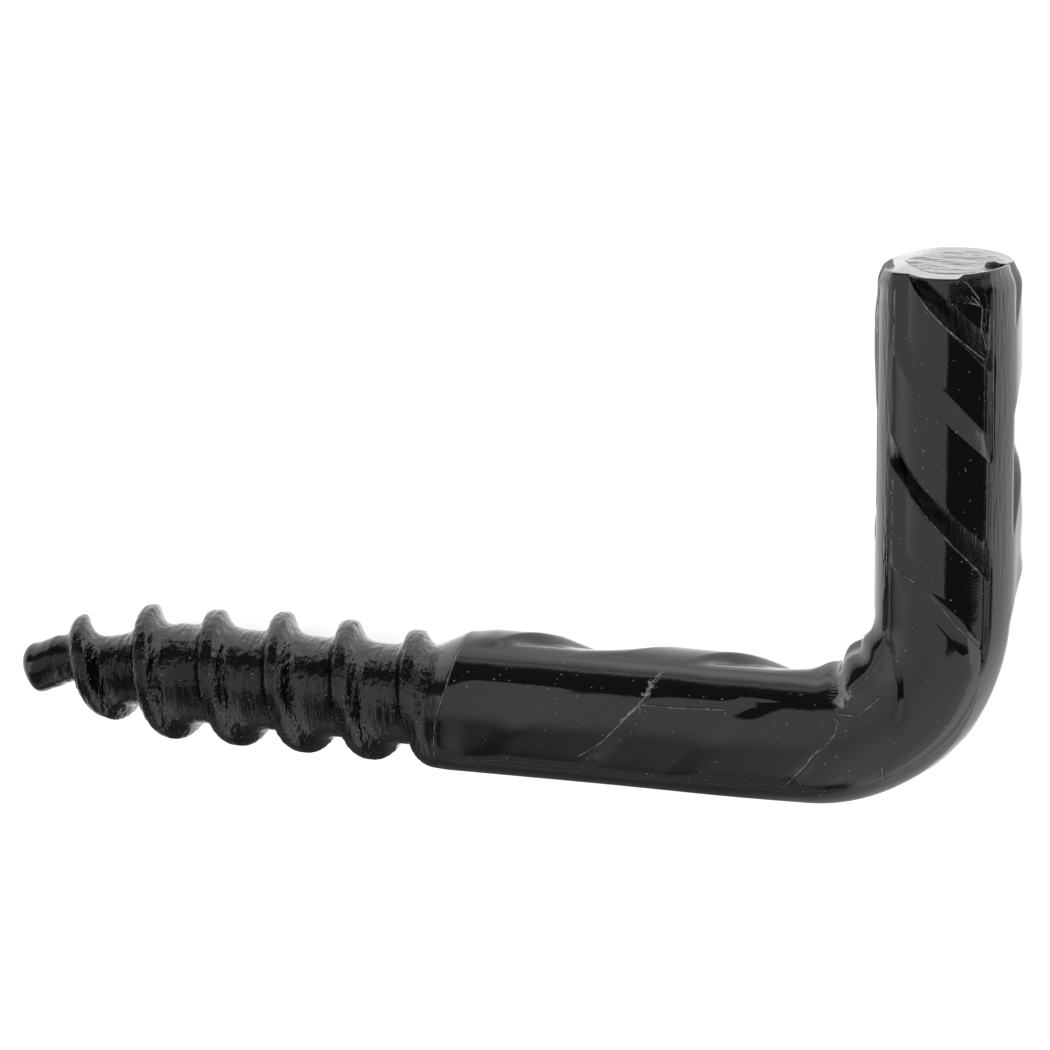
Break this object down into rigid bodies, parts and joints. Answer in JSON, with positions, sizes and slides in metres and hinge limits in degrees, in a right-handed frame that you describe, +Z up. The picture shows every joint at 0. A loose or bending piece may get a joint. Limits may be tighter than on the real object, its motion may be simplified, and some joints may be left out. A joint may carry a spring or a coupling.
{
  "type": "screw hook",
  "caption": "Square-bend screw hook cold-formed from ribbed round steel bar, with a coarse wood thread on a blunt point and an upright arm cropped at its end, enamelled black.",
  "frame": {"origin": "on the axis of the shank, where the wood thread ends and the bar begins, which is the face of the wall or beam when the hook is driven home", "axes": "the hook lies on its side as it comes to rest: +X along the shank from the wall towards the bend, +Y along the arm towards its cut end, +Z up and square to the plane of the hook"},
  "size_m": [0.059, 0.0312, 0.008],
  "materials": {
    "black_enamel": "glossy black enamel, thick and runny, chipped along sharp edges"
  },
  "bodies": {
    "root": {"hook": "black_enamel"}
  },
  "joints": []
}
